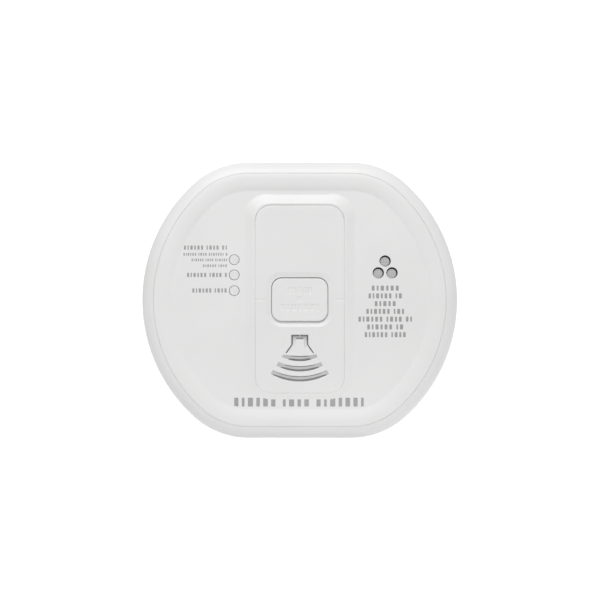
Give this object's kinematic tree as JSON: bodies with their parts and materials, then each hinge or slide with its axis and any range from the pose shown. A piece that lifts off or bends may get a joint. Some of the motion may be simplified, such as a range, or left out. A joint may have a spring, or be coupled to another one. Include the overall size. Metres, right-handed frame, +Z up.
{
  "type": "carbon monoxide detector",
  "caption": "White carbon monoxide alarm with rounded sides and flat top and base, raised centre column with test button, indicator lenses, gas holes and a twist-on wall plate.",
  "frame": {"origin": "on the surface it stands on, at the middle of its width and of its depth", "axes": "+X to the viewer's right, +Y from the front towards the wall, +Z up; the front faces -Y"},
  "size_m": [0.12, 0.044, 0.105],
  "materials": {
    "white_abs": "fine satin texture from a spark-eroded mould",
    "white_abs_back": "plain moulded, slightly duller than the front",
    "clear_acrylic": "milky clear, polished end",
    "led_red": "tinted clear",
    "led_amber": "tinted clear",
    "led_green": "tinted clear",
    "grey_membrane": "felted filter membrane",
    "black_foam": "closed-cell foam",
    "sensor_steel": "drawn can",
    "black_plastic": "moulded",
    "contact_metal": "plated",
    "grey_mesh": "fine woven screen",
    "piezo_brass": "brass disc with a ceramic coat",
    "brown_plastic": "moulded",
    "green_laminate": "solder mask over glass laminate",
    "chip_black": "moulded resin",
    "ferrite": "pressed ferrite",
    "capacitor_sleeve": "shrink sleeve",
    "chip_ceramic": "ceramic",
    "cell_sleeve": "shrink sleeve over the cell's can",
    "nickel": "nickel plated",
    "grey_foam": "open-cell foam",
    "label_silver": "blank metallised film",
    "zinc_steel": "zinc plated"
  },
  "bodies": {
    "alarm": {"outer_housing": "white_abs", "front_cover": "white_abs", "centre_panel": "white_abs", "light_pipe_alarm": "clear_acrylic", "light_pipe_fault": "clear_acrylic", "light_pipe_power": "clear_acrylic", "led_alarm": "led_red", "led_fault": "led_amber", "led_power": "led_green", "gas_filter": "grey_membrane", "sensor_gasket": "black_foam", "co_sensor": "sensor_steel", "sensor_base": "black_plastic", "sensor_pins": "contact_metal", "dust_screen": "grey_mesh", "sounder_cap": "black_plastic", "piezo_disc": "piezo_brass", "sounder_body": "black_plastic", "sounder_contacts": "contact_metal", "switch_body": "black_plastic", "circuit_board": "green_laminate", "microcontroller": "chip_black", "crystal": "sensor_steel", "boost_coil": "ferrite", "capacitors": "capacitor_sleeve", "chip_parts": "chip_ceramic", "lithium_cell": "cell_sleeve", "cell_tabs": "nickel", "cell_cradle": "black_plastic", "cell_pad": "grey_foam", "power_switch": "nickel", "back_cover": "white_abs_back", "rating_label": "label_silver", "case_screws": "zinc_steel", "board_screws": "zinc_steel"},
    "button": {"test_button": "white_abs"},
    "plunger": {"switch_plunger": "brown_plastic"},
    "slider": {"power_slider": "black_plastic"},
    "wall_plate": {"mounting_plate": "white_abs_back"}
  },
  "joints": [
    {"name": "test_button_press", "type": "slide", "parent": "alarm", "child": "button", "axis": [0, 1, 0], "range_m": [0, 0.0008], "stiffness_N_per_m": 1500},
    {"name": "switch_plunger_press", "type": "slide", "parent": "alarm", "child": "plunger", "axis": [0, 1, 0], "range_m": [0, 0.0008]},
    {"name": "base_twist", "type": "hinge", "parent": "alarm", "child": "wall_plate", "pos_m": [0, 0.018, 0.0525], "axis": [0, 1, 0], "range_deg": [0, 15]},
    {"name": "power_slider_slide", "type": "slide", "parent": "alarm", "child": "slider", "axis": [-1, 0, 0], "range_m": [0, 0.004]}
  ],
  "couplings": [
    {"joint": "switch_plunger_press", "follows": "test_button_press", "ratio": 1},
    {"joint": "power_slider_slide", "follows": "base_twist", "m_per_rad": 0.014957}
  ]
}
